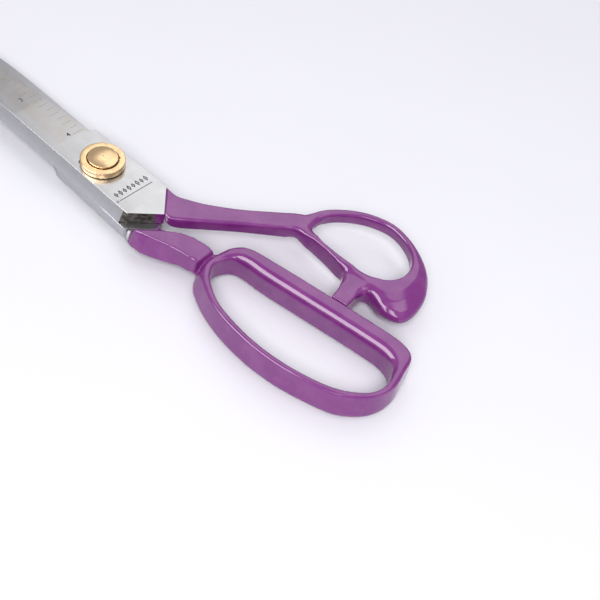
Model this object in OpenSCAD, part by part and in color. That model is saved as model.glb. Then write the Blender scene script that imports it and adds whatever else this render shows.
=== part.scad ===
// Tailor's shears, closed. The origin is on the pivot axis at the plane the shears lie on,
// +X runs from the tips towards the bows, +Y towards the thumb bow, +Z up along the pivot.

/* [Blades] */
// Length from the pivot to the tips
blade_length = 120; // [100:1:130]
// Thickness of each blade at the pivot
blade_thickness = 4.95; // [4:0.05:5.5]
// Thickness of each blade at its tip
tip_thickness = 2.4; // [2:0.1:4]
// Height of the plane where the two blades meet
meeting_height = 8; // [7.5:0.1:8.5]
// Gap between the two flat inner faces
meeting_gap = 0.1; // [0.05:0.05:0.2]
// Distance of the thumb blade's back from the pivot
thumb_back = 11.8; // [11:0.1:12.5]
// Distance of the finger blade's back from the pivot
finger_back = 10.8; // [10:0.1:12]
// Where the thumb blade's ground edge starts, ahead of the pivot
thumb_edge_start = 15.5; // [13:0.5:18]
// Where the finger blade's ground edge starts, ahead of the pivot
finger_edge_start = 13; // [12:0.5:18]

/* [Pivot] */
// Diameter of the bolt's round shank
shank_d = 8; // [6:0.1:9]
// Diameter of the bolt's domed head
head_d = 10.9; // [10:0.1:11.2]
// Diameter of the brass collar
collar_d = 16.6; // [14:0.1:18]
// Diameter of the recess that the head sits in
recess_d = 11.8; // [11.4:0.1:12.4]
// Diameter of the threaded end
thread_d = 5; // [4:0.1:5.4]
// Width across the nut's flats
nut_flats = 9; // [8:0.5:10]

/* [Handles] */
// Height of the handles' flat upper faces
handle_top = 13.3; // [13:0.1:13.6]
// Gap between the thumb bow's stop and the finger bow
stop_gap = 0.35; // [0.3:0.05:1]
// Sides of each bow's cross section
bow_sides = 12; // [8:2:16]
// Rings drawn between two stations along a bow
bow_steps = 3; // [2:1:4]

/* [Hidden] */
$fn = 64;

blade_top = meeting_height + meeting_gap / 2 + blade_thickness;
blade_bottom = meeting_height - meeting_gap / 2 - blade_thickness;
washer_thickness = 0.4;
collar_bottom = blade_top + washer_thickness;
collar_height = 2.4;
collar_top = collar_bottom + collar_height;
recess_floor = collar_top - 0.9;
head_top = collar_top + 0.55;  // where the head's upright side ends and its dome starts
dome_top = head_top + 0.85;
running = 0.05;          // radial clearance of every turning fit
slip = 0.02;             // end clearance between faces that turn on each other
neck = 5.5;              // side of the bolt's square neck
nut_bottom = 0.3;
nut_top = 2.3;
thread_top = blade_bottom + 0.5;

// The blades' lines, as places along X and distances from the pivot's axis
edge_from = -15;         // where the edge line leaves the ricasso
edge_at_ricasso = 10.8;
edge_at_tip = 2.6;
back_bends_at = -52;     // where the straight back starts to curve in to the tip
back_at_tip = 2.4;
back_power = 1.9;        // how late the curve turns in
thins_from = -40;        // where the blade starts to thin towards its tip
edge_bevel = 3.4;        // width of the ground edge
back_bevel = 2.5;        // width of the bevel along the back
thumb_ricasso = 9.6;
finger_ricasso = 10.8;
ricasso_flare = 0.028;   // how fast the ricasso widens towards the heel
back_end = 22.1;         // where the back meets the heel's corner

// The heel of a blade in plan: the corner at the joint's far end, its near end, and the
// corner where the heel meets the back.
joint_far = [22.9, 10.5];
joint_near = [32.6, 0.6];
heel_corner = [24.1, -9.2];
tang_root = [28, 4.6];
tang_angle = 24;
tang_size = [8, 4.6, 1.9];
tang_height = meeting_height + 2.5;

// ---------- curves ----------
// Catmull-Rom curve between b and c
function bend(a, b, c, d, t) =
    0.5 * (2 * b + (c - a) * t + (2 * a - 5 * b + 4 * c - d) * t * t
           + (3 * b - a - 3 * c + d) * t * t * t);
function closed_curve(p, n) =
    let (m = len(p))
    [for (i = [0:m - 1], k = [0:n - 1])
        bend(p[(i + m - 1) % m], p[i], p[(i + 1) % m], p[(i + 2) % m], k / n)];
function open_curve(p, n) =
    let (m = len(p))
    [for (i = [0:m - 2], k = [0:(i == m - 2 ? n : n - 1)])
        bend(p[max(i - 1, 0)], p[i], p[i + 1], p[min(i + 2, m - 1)], k / n)];

// A station is [left x, left y, right x, right y, low z, high z]. Its section is a rounded
// box between the left and right points; the power sets how square the box is.
function rounded(v, power) = sign(v) * pow(abs(v), power);
function section(s, sides, power) =
    [for (j = [0:sides - 1])
        let (a = 360 * (j + 0.5) / sides,
             u = rounded(cos(a), power), v = rounded(sin(a), power))
        [(s[0] + s[2]) / 2 + u * (s[0] - s[2]) / 2,
         (s[1] + s[3]) / 2 + u * (s[1] - s[3]) / 2,
         (s[4] + s[5]) / 2 + v * (s[5] - s[4]) / 2]];

// A skin over equal rings of points, closed on itself or capped at both ends
module skin(rings, closed) {
    m = len(rings);
    k = len(rings[0]);
    sides = [for (i = [0:(closed ? m - 1 : m - 2)], j = [0:k - 1])
        let (a = i * k, b = ((i + 1) % m) * k, n = (j + 1) % k)
        each [[a + j, b + n, a + n], [a + j, b + j, b + n]]];
    caps = closed ? [] : [[for (j = [0:k - 1]) j], [for (j = [k - 1:-1:0]) (m - 1) * k + j]];
    polyhedron([for (r = rings) each r], concat(sides, caps), convexity = 8);
}

// ---------- blades ----------
// Both blades share one shape, drawn as the thumb blade with its outer face up.
tip_x = -blade_length;
function along(x, x0, x1) = min(1, max(0, (x - x0) / (x1 - x0)));
// The cutting edge runs straight from the ricasso to the tip.
function edge_y(x) =
    edge_at_ricasso + (edge_at_tip - edge_at_ricasso) * along(x, edge_from, tip_x);
// The back is straight, then curves in to the tip.
function back_y(x, back) =
    -back + (back - back_at_tip) * pow(along(x, back_bends_at, tip_x), back_power);
function blade_z(x) =
    blade_thickness + (tip_thickness - blade_thickness) * along(x, thins_from, tip_x);
// One section: its far side is square on the ricasso, and slopes in along the ground edge.
function blade_section(x, back, far_low, far_slope) =
    let (z0 = meeting_height + meeting_gap / 2, t = blade_z(x), narrow = t / blade_thickness)
    [[x, back_y(x, back), z0], [x, far_low, z0], [x, far_low - far_slope * narrow, z0 + t],
     [x, back_y(x, back) + back_bevel * narrow, z0 + t]];

// back and ricasso are the distances of the blade's back and of its square side at the pivot,
// and the edge is ground from start to the tip.
module blade(back, ricasso, start) {
    stations = concat([for (i = [0:11]) tip_x + (blade_length - 46) * i / 11],
                      [-36, -26, -start - 1]);
    difference() {
        union() {
            skin([for (x = stations) blade_section(x, back, edge_y(x), edge_bevel),
                  for (x = [-start, joint_near[0] + 1.4])
                      blade_section(x, back, ricasso + ricasso_flare * (x - edge_from), 0)], false);
            tang();
        }
        // the heel, cut to its two slanting edges
        translate([0, 0, meeting_height - 1]) linear_extrude(blade_thickness + 3)
            difference() {
                translate([18, -16]) square([26, 30]);
                polygon([[17, 13], joint_far + [-2.3, 2.5], joint_far, joint_near, heel_corner,
                         [back_end, -back - 0.5], [17, -16]]);
                tang_plan();
            }
        translate([0, 0, meeting_height - 1]) cylinder(d = shank_d + 2 * running, h = 10);
    }
}

module tang_plan() {
    inside = 4;  // how far the tang's root reaches into the heel
    translate(tang_root) rotate(tang_angle) translate([-inside, -tang_size[1] / 2])
        square([tang_size[0] + inside, tang_size[1]]);
}

// The tang, low in the blade's outer half, that the handle is cast around
module tang() {
    translate([0, 0, tang_height]) linear_extrude(tang_size[2]) tang_plan();
}

// Turns the thumb blade's shape over about the X axis into the finger blade's place
module turned_over() {
    translate([0, 0, 2 * meeting_height]) rotate([180, 0, 0]) children();
}

module thumb_blade() {
    color("silver") blade(thumb_back, thumb_ricasso, thumb_edge_start);
}

module finger_blade() {
    color("silver") difference() {
        union() {
            turned_over() blade(finger_back, finger_ricasso, finger_edge_start);
            // fills the round bore around the bolt's square neck
            translate([0, 0, blade_bottom]) cylinder(d = shank_d + 1, h = blade_thickness);
        }
        translate([-neck / 2 - slip, -neck / 2 - slip, 0])
            cube([neck + 2 * slip, neck + 2 * slip, 10]);
    }
}

// ---------- handles ----------
finger_bow = [
    [54.3, -2, 59.2, -0.4, 1.4, 10.8], [55, 5.2, 60.2, 3.8, 1.4, 11], [58, 11, 62.2, 6.9, 1.4, 11.6],
    [63, 14.2, 66.5, 8.3, 1.4, 12.4], [74.5, 16.6, 75.5, 9.1, 1.4, 12.6],
    [96.3, 20.4, 97, 12.7, 1.4, 12.6], [113.7, 23.2, 114.5, 15.6, 1.4, 12.6],
    [125.5, 24.6, 124, 16.6, 1.4, 12.6], [131.8, 23.2, 129.4, 14.9, 1.4, 12.6],
    [134.9, 17.2, 131.8, 11.4, 1.4, 12.5], [137.1, 9.6, 132.9, 7.6, 1.4, 12.3],
    [136.2, 3.4, 132.3, 3.2, 1.4, 12.1], [132.8, -2.8, 129.4, -1.1, 1.4, 12],
    [126.4, -8.9, 123.2, -6.1, 1.4, 12], [117, -12.7, 114.6, -9.7, 1.4, 12],
    [105, -15.9, 103.6, -12.4, 1.4, 12], [92.5, -17.2, 92.2, -13.5, 1.4, 12],
    [80.5, -16.6, 81.4, -12.8, 1.4, 11.8], [71, -14.7, 73, -11.1, 1.4, 11.4],
    [63.8, -12.1, 66.8, -8.3, 1.4, 11.2], [57.4, -8.4, 61.6, -4.5, 1.4, 10.8]];

thumb_bow = [
    [64.4, 39.4, 70.4, 41, 7.8, 13.2], [65.8, 45, 70.2, 45.4, 8, 13.2],
    [68.6, 50.6, 72, 49.6, 8, 13.2], [74.2, 57, 76.6, 54.8, 8, 13.2],
    [81, 61.6, 82.4, 58.9, 8, 13.2], [89.5, 64.2, 89.7, 61.4, 8, 13.2],
    [98, 63.2, 97, 60.4, 8, 13.2], [106, 60.4, 103.2, 57.2, 7.4, 13.2],
    [113, 55.8, 106.6, 52.6, 6, 13.1], [118, 48.5, 107.4, 47.6, 4, 13],
    [119.8, 40, 105.8, 43.2, 2.6, 12.8], [118.3, 34, 102.6, 40.2, 2.4, 12.6],
    [112, 31.6, 97.6, 38.2, 2.8, 12.6], [104, 33, 92, 37, 3.4, 12.8],
    [93, 33.1, 85.5, 36.4, 4, 13], [83.5, 33.9, 77.5, 36.4, 5, 13.2],
    [75.5, 34, 72.6, 37.7, 5.6, 13.2], [68, 33.4, 70.2, 39, 7, 13.2]];

// The thumb shank leaves the blade thin and deepens over the first few millimetres.
thumb_shank = [
    [joint_far[0], joint_far[1], joint_near[0], joint_near[1], 9.9, handle_top],
    [28.4, 10.4, 35.2, 0.6, 8.9, handle_top], [33.2, 12.8, 38, 3, 8.1, handle_top],
    [38.8, 16.4, 42.9, 8, 8.1, handle_top], [47.9, 24, 52, 17.6, 8, handle_top],
    [57.5, 33.9, 60.8, 26.2, 7.8, handle_top], [64, 41, 69.2, 34.4, 7.4, handle_top]];

// The finger shank is a faceted block. Each row has the left top edge, the right top edge,
// the right side's widest point and the right bottom edge in plan, then the low and high z.
finger_shank = [
    [32.5, -0.7, 23.2, -10.2, 23, -10.6, 23.2, -10.2, 3.1, 7.9],
    [35.4, -2, 28.4, -10.8, 27.6, -12.2, 27.8, -11.4, 3, 7.9],
    [38.1, -4.3, 31.3, -12.3, 31.2, -13.1, 30.6, -11.6, 3, 12.9],
    [42.7, -0.6, 36.5, -10.6, 37.2, -13.2, 36.2, -11.4, 3, 13],
    [47, 1.4, 42.7, -8.5, 43, -10.4, 43.4, -8, 3.2, 13],
    [50.8, 2.4, 49.1, -6.6, 49.3, -7.6, 49.8, -4, 3.4, 13],
    [55.7, 3.3, 55.7, -5.3, 55.4, -6.2, 55.8, -3, 3.6, 13]];
function block_section(s) =
    [[s[0], s[1], s[8]], [s[0], s[1], s[9]], [s[2], s[3], s[9]],
     [s[4], s[5], (s[8] + s[9]) / 2], [s[6], s[7], s[8]]];

module bow(stations, power) {
    skin([for (s = closed_curve(stations, bow_steps)) section(s, bow_sides, power)], true);
}

module thumb_handle() {
    color([0.50, 0.24, 0.50]) difference() {
        union() {
            bow(thumb_bow, 0.62);
            skin([for (s = open_curve(thumb_shank, bow_steps)) section(s, bow_sides, 0.42)], false);
            thumb_stop();
        }
        tang();
    }
}

// The stop, a square lug under the thumb bow that meets the finger bow's straight bar
module thumb_stop() {
    meets = [99.4, 20.9];  // where the lug's middle meets the finger bow
    lean = 8.8;
    low = 3.6;
    height = 8.4;
    translate([meets[0], meets[1] + stop_gap, low]) rotate(lean)
        linear_extrude(height) polygon([[-3.3, 0], [3.3, 0], [3.5, 8], [5, 12], [-5, 12], [-4.3, 7]]);
}

module finger_handle() {
    color([0.50, 0.24, 0.50]) difference() {
        union() {
            bow(finger_bow, 0.5);
            skin([for (s = finger_shank) block_section(s)], false);
        }
        turned_over() tang();
    }
}

// ---------- pivot ----------
module pivot_bolt() {
    rise = dome_top - head_top;
    dome_r = (pow(head_d / 2, 2) + pow(rise, 2)) / (2 * rise);
    color("gold") {
        translate([0, 0, recess_floor + slip])
            cylinder(d = head_d, h = head_top - recess_floor - slip);
        intersection() {
            translate([0, 0, dome_top - dome_r]) sphere(r = dome_r, $fn = 128);
            translate([0, 0, head_top]) cylinder(d = head_d, h = rise + 1);
        }
        translate([0, 0, meeting_height - meeting_gap / 2])
            cylinder(d = shank_d, h = recess_floor + slip - meeting_height + meeting_gap / 2);
        translate([-neck / 2, -neck / 2, thread_top])
            cube([neck, neck, blade_bottom + blade_thickness - thread_top]);
        cylinder(d = thread_d, h = thread_top);
    }
}

module pivot_collar() {
    rim = 0.35;
    color("gold") difference() {
        rotate_extrude() polygon([
            [shank_d / 2 + running, collar_bottom], [collar_d / 2, collar_bottom],
            [collar_d / 2, collar_top - rim], [collar_d / 2 - rim, collar_top],
            [recess_d / 2, collar_top], [recess_d / 2, recess_floor],
            [shank_d / 2 + running, recess_floor]]);
        // the notch for a pin spanner, on the recess's rim
        rotate(54) translate([recess_d / 2, 0, recess_floor]) cylinder(d = 1, h = 2, $fn = 24);
    }
}

module tab_washer() {
    tab_angle = 227;
    tab_reach = 8.8;   // from the pivot's axis
    tab_width = 1.3;
    tab_length = 2.5;  // with the part that lies under the collar
    color("dimgray") difference() {
        union() {
            translate([0, 0, blade_top]) cylinder(d = collar_d - 0.6, h = washer_thickness);
            rotate(tab_angle) translate([tab_reach - tab_length, -tab_width / 2, blade_top])
                cube([tab_length, tab_width, washer_thickness]);
        }
        translate([0, 0, blade_top - 1]) cylinder(d = shank_d + 2 * running, h = 3);
    }
}

// A dished washer: its rim bears on the finger blade and its hole's edge on the nut
module spring_washer() {
    rim_r = 5.6;
    hole_r = thread_d / 2 + 0.2;
    land = 0.7;  // width of the flat ring at the rim and at the hole
    sheet = 0.34;
    rise = blade_bottom - nut_top - slip - sheet;
    color("dimgray") rotate_extrude() polygon([
        [hole_r, nut_top + slip], [hole_r + land, nut_top + slip],
        [rim_r, nut_top + slip + rise], [rim_r, blade_bottom], [rim_r - land, blade_bottom],
        [hole_r, blade_bottom - rise]]);
}

module adjusting_nut() {
    height = nut_top - nut_bottom;
    chamfer_r = nut_flats / 2 + 0.1;  // the chamfer cone's radius at the bottom; it opens at 45 deg
    color("silver") difference() {
        translate([0, 0, nut_bottom]) intersection() {
            cylinder(d = nut_flats / cos(30), h = height, $fn = 6);
            cylinder(r1 = chamfer_r, r2 = chamfer_r + height, h = height);
        }
        cylinder(d = thread_d + 2 * running, h = 4);
    }
}

finger_blade();
finger_handle();
thumb_blade();
thumb_handle();
pivot_bolt();
pivot_collar();
tab_washer();
spring_washer();
adjusting_nut();
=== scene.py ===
"""Tailor's shears with enamelled handles, lying closed on a pale floor.

Every shape is worked out in millimetres, in the part's own frame: the pivot stands on the
origin, +X runs from the tips to the bows, +Y to the thumb bow and +Z up.
"""

import math

import bpy
import numpy as np
from mathutils import Matrix, Vector


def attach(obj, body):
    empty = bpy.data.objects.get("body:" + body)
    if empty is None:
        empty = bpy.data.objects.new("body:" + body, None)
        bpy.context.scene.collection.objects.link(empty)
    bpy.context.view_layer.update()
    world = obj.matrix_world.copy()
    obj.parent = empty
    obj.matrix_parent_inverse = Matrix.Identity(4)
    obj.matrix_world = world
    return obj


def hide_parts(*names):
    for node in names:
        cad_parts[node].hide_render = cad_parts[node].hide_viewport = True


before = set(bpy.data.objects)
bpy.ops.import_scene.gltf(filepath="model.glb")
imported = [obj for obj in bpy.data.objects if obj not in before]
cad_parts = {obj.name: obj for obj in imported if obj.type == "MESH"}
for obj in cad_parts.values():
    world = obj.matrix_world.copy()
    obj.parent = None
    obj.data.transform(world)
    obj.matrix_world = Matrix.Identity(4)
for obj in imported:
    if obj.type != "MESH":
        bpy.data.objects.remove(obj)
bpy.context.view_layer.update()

MM = 0.001
MEETING = 8.0  # height of the plane where the blades meet
GAP = 0.05  # from that plane to each blade's flat inner face


# ---------- meshes ----------
def skin(rings, closed=False):
    """Joins equal rings of points, (rings, points, 3), with four-sided faces. Each ring is
    closed; the row of rings is closed too, or has a flat cap at each end."""
    count, size = rings.shape[:2]
    i = np.arange(count if closed else count - 1)[:, None] * size
    after = (i + size) % (count * size)
    j = np.arange(size)[None, :]
    turn = (j + 1) % size
    faces = np.stack([i + j, i + turn, after + turn, after + j], -1).reshape(-1, 4).tolist()
    if not closed:
        faces += [list(range(size))[::-1], list(range((count - 1) * size, count * size))]
    return rings.reshape(-1, 3), faces


def joined(*shells):
    """Puts several (points, faces) shells into one."""
    points, faces, start = [], [], 0
    for shell_points, shell_faces in shells:
        points.append(shell_points)
        faces += [[start + corner for corner in face] for face in shell_faces]
        start += len(shell_points)
    return np.concatenate(points), faces


def outward(points, faces):
    """Turns a closed shell's faces round if its signed volume, the sum of each fan triangle's
    a . (b x c), is negative."""
    a = np.array([points[f[0]] for f in faces])
    total = 0.0
    for k in range(1, max(map(len, faces)) - 1):
        b = np.array([points[f[min(k, len(f) - 1)]] for f in faces])
        c = np.array([points[f[min(k + 1, len(f) - 1)]] for f in faces])
        total += np.einsum("ij,ij->", a, np.cross(b, c))
    return faces if total > 0 else [face[::-1] for face in faces]


def solid(name, shells, finishes):
    """A mesh object at the origin from closed shells in millimetres."""
    shells = [(points, outward(points, faces)) for points, faces in shells]
    points, faces = joined(*shells)
    mesh = bpy.data.meshes.new(name)
    mesh.from_pydata((points * MM).tolist(), [], faces)
    mesh.update()
    made = bpy.data.objects.new(name, mesh)
    bpy.context.scene.collection.objects.link(made)
    for finish in finishes:
        mesh.materials.append(finish)
    return made


def crisp(made, degrees):
    """Smooth shading, but sharp wherever two faces meet at more than this angle."""
    made.data.shade_smooth()
    made.data.set_sharp_from_angle(angle=math.radians(degrees))


def apply_modifier(made, kind, **settings):
    """Adds a modifier, and puts its result into the object's own mesh."""
    modifier = made.modifiers.new(kind, kind)
    for key, value in settings.items():
        setattr(modifier, key, value)
    evaluated = made.evaluated_get(bpy.context.evaluated_depsgraph_get())
    mesh = bpy.data.meshes.new_from_object(evaluated)
    mesh.name = made.data.name
    made.modifiers.clear()
    made.data = mesh


def bored(made, shell):
    """Cuts a closed shell out of the object."""
    cutter = solid("cutter", [shell], [])
    apply_modifier(made, "BOOLEAN", operation="DIFFERENCE", solver="EXACT", object=cutter)
    bpy.data.objects.remove(cutter)


def add_piece(made, body, slot, *nodes):
    """Lets the finished object ride on its body and stand for its CAD nodes."""
    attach(made, body)
    if nodes:
        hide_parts(*nodes)


# ---------- curves and sections ----------
def along_curve(stations, steps, closed):
    """Catmull-Rom curve through the rows of stations, with this many steps between two rows."""
    rows = np.asarray(stations, float)
    if closed:
        a, b, c, d = (np.roll(rows, shift, axis=0) for shift in (1, 0, -1, -2))
    else:
        ends = np.vstack([rows[:1], rows, rows[-1:]])
        a, b, c, d = ends[:-3], ends[1:-2], ends[2:-1], ends[3:]
    t = (np.arange(steps) / steps)[None, :, None]
    a, b, c, d = (rows_of[:, None, :] for rows_of in (a, b, c, d))
    curve = 0.5 * (2 * b + (c - a) * t + (2 * a - 5 * b + 4 * c - d) * t**2
                   + (3 * b - a - 3 * c + d) * t**3)
    curve = curve.reshape(-1, rows.shape[1])
    return curve if closed else np.vstack([curve, rows[-1]])


def sides_of(corners):
    """For closed outlines, (outlines, corners, 2): unit vectors along each corner's two sides,
    back to the corner before and on to the next, the length of the side that leads on, and
    half of the inside angle."""
    back = np.roll(corners, 1, axis=1) - corners
    on = np.roll(corners, -1, axis=1) - corners
    back /= np.linalg.norm(back, axis=2, keepdims=True) + 1e-9
    length = np.linalg.norm(on, axis=2) + 1e-9
    on /= length[..., None]
    half = np.arccos(np.clip(np.sum(back * on, axis=2), -0.999, 0.999)) / 2
    return back, on, length, half


def eased(corners, back_reach, on_reach, steps=6):
    """Rounds each corner with a conic that starts and ends this far along its two sides, and
    whose middle weight is the sine of half the inside angle. Two reaches that would meet on
    one side are shortened together."""
    back, on, length, half = sides_of(corners)
    used = on_reach + np.roll(back_reach, -1, axis=1)
    spare = np.minimum(1, 0.98 * length / np.maximum(used, 1e-6))
    start = (corners + back * (back_reach * np.roll(spare, 1, axis=1))[..., None])[:, :, None, :]
    end = (corners + on * (on_reach * spare)[..., None])[:, :, None, :]
    t = np.linspace(0, 1, steps)[None, None, :, None]
    middle = 2 * np.sin(half)[:, :, None, None] * t * (1 - t)
    arc = start * (1 - t) ** 2 + corners[:, :, None, :] * middle + end * t**2
    arc /= (1 - t) ** 2 + middle + t**2
    return arc.reshape(len(corners), -1, 2)


def rounded(corners, radii, steps=6):
    """Rounds each corner with an arc of its radius, which reaches the radius over the tangent
    of half the inside angle along both sides."""
    half = sides_of(corners)[3]
    reach = np.asarray(radii, float) / np.tan(half)
    return eased(corners, reach, reach, steps)


# A station of a bow or shank: left x, left y, right x, right y, low z, high z, how far across
# the flat top starts, and how far over the top the left and right upper edges' roundings reach.
PLAIN_SIDE = (0.15, 0.1)  # how high the left side bellies out, how far its foot is tucked in
LEAST_WIDTH = 0.5
FOOT_UP = 0.6  # how far up the side the foot's rounding reaches, as a share of the foot


def with_side(stations, pad=()):
    """Adds to each station how far the left upper edge's rounding reaches down, the belly and
    the tuck. The pad has its own (row, reach down, belly, tuck)."""
    rows = np.asarray(stations, float)
    rows = np.hstack([rows, rows[:, 7:8], np.tile(PLAIN_SIDE, (len(rows), 1))])
    for row, *side in pad:
        rows[row, 9:12] = side
    return rows


def bow_rings(curve, closed, foot):
    """A rounded five-cornered section on each row of the curve. The section stands on the line
    from the left point to the right one: its left side starts from a tucked-in foot, bellies
    out to the left point, and leans back to where the flat top starts. The width that the
    reaches act on is measured square to the path."""
    left, right, low, high = curve[:, 0:2], curve[:, 2:4], curve[:, 4], curve[:, 5]
    middle = (left + right) / 2
    if closed:
        run = np.roll(middle, -1, axis=0) - np.roll(middle, 1, axis=0)
    else:
        run = np.gradient(middle, axis=0)
    run /= np.linalg.norm(run, axis=1, keepdims=True)
    across = right - left
    width = np.maximum(np.abs(run[:, 0] * across[:, 1] - run[:, 1] * across[:, 0]), LEAST_WIDTH)
    crest, over, edge, down, belly, tuck = curve[:, 6:12].T
    tall = high - low
    corners = np.stack([
        np.stack([tuck * width, low], -1), np.stack([0 * width, low + belly * tall], -1),
        np.stack([crest * width, high], -1), np.stack([width, high], -1),
        np.stack([width, low], -1)], axis=1)
    soft = foot + 0 * width
    outline = eased(corners, np.stack([soft, soft, down, edge, soft], -1),
                    np.stack([FOOT_UP * soft, soft, over, edge, soft], -1))
    plan = left[:, None, :] + outline[:, :, 0:1] / width[:, None, None] * across[:, None, :]
    return np.concatenate([plan, outline[:, :, 1:2]], axis=2)


# ---------- handles ----------
FINGER_BOW = [
    [54.3, -2, 59.2, -0.4, 1.4, 10.8, 0.45, 1.2, 0.6],
    [55, 5.2, 60.2, 3.8, 1.4, 11, 0.3, 1.0, 1.0],
    [58, 11, 62.2, 6.9, 1.4, 11.6, 0.15, 0.7, 2.0],
    [63, 14.2, 66.5, 8.3, 1.4, 12.4, 0.06, 0.5, 3.2],
    [74.5, 16.6, 75.5, 9.1, 1.4, 12.6, 0.04, 0.5, 3.6],
    [96.3, 20.4, 97, 12.7, 1.4, 12.6, 0.04, 0.5, 3.6],
    [113.7, 23.2, 114.5, 15.6, 1.4, 12.6, 0.04, 0.5, 3.6],
    [125.5, 24.6, 124, 16.6, 1.4, 12.6, 0.04, 0.5, 3.6],
    [131.8, 23.2, 129.4, 14.9, 1.4, 12.6, 0.12, 0.7, 2.6],
    [134.0, 17.2, 131.8, 11.4, 1.4, 12.5, 0.16, 0.9, 1.0],
    [136.1, 9.6, 132.9, 7.6, 1.4, 12.3, 0.26, 0.8, 0.5],
    [135.6, 3.1, 132.3, 3.2, 1.4, 12.1, 0.4, 0.8, 0.5],
    [132.8, -2.8, 129.4, -1.1, 1.4, 12, 0.45, 0.8, 0.5],
    [126.4, -8.9, 123.2, -6.1, 1.4, 12, 0.4, 0.7, 0.5],
    [117, -12.7, 114.6, -9.7, 1.4, 12, 0.4, 0.7, 0.5],
    [105, -15.9, 103.6, -12.4, 1.4, 12, 0.4, 0.7, 0.5],
    [92.5, -17.2, 92.2, -13.5, 1.4, 12, 0.4, 0.7, 0.5],
    [80.5, -16.6, 81.4, -12.8, 1.4, 11.8, 0.4, 0.7, 0.5],
    [71, -14.7, 73, -11.1, 1.4, 11.4, 0.42, 0.7, 0.5],
    [63.8, -12.1, 66.8, -8.3, 1.4, 11.2, 0.48, 0.8, 0.5],
    [57.4, -8.4, 61.6, -4.5, 1.4, 10.8, 0.5, 1.0, 0.5]]

THUMB_BOW = [
    [64.4, 39.4, 70.4, 41, 7.8, 13.2, 0.05, 0.6, 0.7],
    [65.8, 45, 70.2, 45.4, 8, 13.2, 0.1, 0.6, 1.1],
    [68.6, 50.6, 72, 49.6, 8, 13.2, 0.12, 0.6, 1.2],
    [74.2, 57, 76.6, 54.8, 8, 13.2, 0.15, 0.6, 1.3],
    [81, 61.6, 82.4, 58.9, 8, 13.2, 0.15, 0.6, 1.3],
    [89.5, 64.2, 89.7, 61.4, 8, 13.2, 0.15, 0.6, 1.3],
    [98, 63.2, 97, 60.4, 8, 13.2, 0.1, 1.4, 1.3],
    [106, 60.4, 103.2, 57.2, 7.4, 13.2, 0.05, 4, 1.2],
    [113, 55.8, 106.6, 52.6, 6, 13.1, 0.02, 6, 0.9],
    [118, 48.5, 107.4, 47.6, 4, 13, 0, 11, 0.8],
    [119.8, 40, 105.8, 43.2, 2.6, 12.8, 0, 14, 0.8],
    [118.3, 34, 102.6, 40.2, 2.4, 12.6, 0, 15, 0.8],
    [112, 31.6, 97.6, 38.2, 2.8, 12.6, 0, 14, 0.8],
    [104, 33, 92, 37, 3.4, 12.8, 0, 9, 0.7],
    [93, 33.1, 85.5, 36.4, 4, 13, 0.1, 3, 0.5],
    [83.5, 33.9, 77.5, 36.4, 5, 13.2, 0.15, 0.7, 0.5],
    [75.5, 34, 72.6, 37.7, 5.6, 13.2, 0.1, 0.7, 0.5],
    [68, 33.4, 70.2, 39, 7, 13.2, 0.05, 0.7, 0.5]]

# Where the thumb bow swells into the pad: row, reach down, belly, tuck
THUMB_PAD = [(6, 0.8, 0.15, 0.1), (7, 2, 0.2, 0.12), (8, 3.4, 0.32, 0.18), (9, 4.8, 0.42, 0.24),
             (10, 5.2, 0.44, 0.26), (11, 5.2, 0.44, 0.26), (12, 5.2, 0.42, 0.25),
             (13, 4.4, 0.32, 0.2), (14, 1.6, 0.2, 0.12)]

JOINT_FAR = (22.9, 10.5)  # the thumb blade's joint with its handle, far end and near end
JOINT_NEAR = (32.6, 0.6)
THUMB_SHANK = [
    [JOINT_FAR[0], JOINT_FAR[1], JOINT_NEAR[0], JOINT_NEAR[1], 9.9, 13.3, 0.02, 0.5, 0.8],
    [28.4, 10.4, 35.2, 0.6, 8.9, 13.3, 0.02, 0.5, 1.0],
    [33.2, 12.8, 38, 3, 8.1, 13.3, 0.02, 0.5, 1.1],
    [38.8, 16.4, 42.9, 8, 8.1, 13.3, 0.02, 0.5, 1.1],
    [47.9, 24, 52, 17.6, 8, 13.3, 0.02, 0.5, 1.1],
    [57.5, 33.9, 60.8, 26.2, 7.8, 13.3, 0.02, 0.5, 1.0],
    [64, 41, 69.2, 34.4, 7.4, 13.3, 0.02, 0.5, 0.8]]

# The finger shank is a faceted block. A row has the left top edge, the right top edge, the
# right side's widest point and the right bottom edge in plan, then the low z, the z of the
# widest point and the high z.
FINGER_SHANK = [
    [34.2, -1.2, 26.4, -10.8, 26.2, -11.9, 26.6, -10.4, 3.1, 5.6, 7.9],
    [35.4, -2, 28.4, -10.8, 27.9, -13.7, 28.4, -10.6, 3, 5.8, 7.9],
    [38.1, -4.3, 31.3, -12.3, 31.0, -14.5, 31.4, -11.2, 3, 6, 12.9],
    [42.7, -0.6, 36.5, -10.6, 36.2, -14.2, 36.2, -10.8, 3, 6, 13],
    [47, 1.4, 42.7, -8.5, 43.2, -11.0, 43.4, -7.6, 3, 6, 13],
    [50.8, 2.4, 49.1, -6.6, 49.5, -7.4, 49.8, -4, 3.2, 6, 12.8],
    [55.7, 3.3, 55.7, -5.3, 55.6, -6.0, 55.8, -3, 3.4, 6, 12.4]]

STOP_PLACE = (99.4, 21.25)  # middle of the stop's end, just clear of the finger bow
STOP_LEAN = math.radians(8.8)
STOP_LOW, STOP_HIGH, STOP_ROUND = 3.6, 12.0, 0.6
# Along the stop: distance from its end, left half width, right half width
STOP_ROWS = [[0, 3.3, 3.3], [5, 3.6, 3.4], [8, 4.3, 3.7], [10, 5.0, 4.6], [12.5, 6.5, 7.0]]


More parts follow.
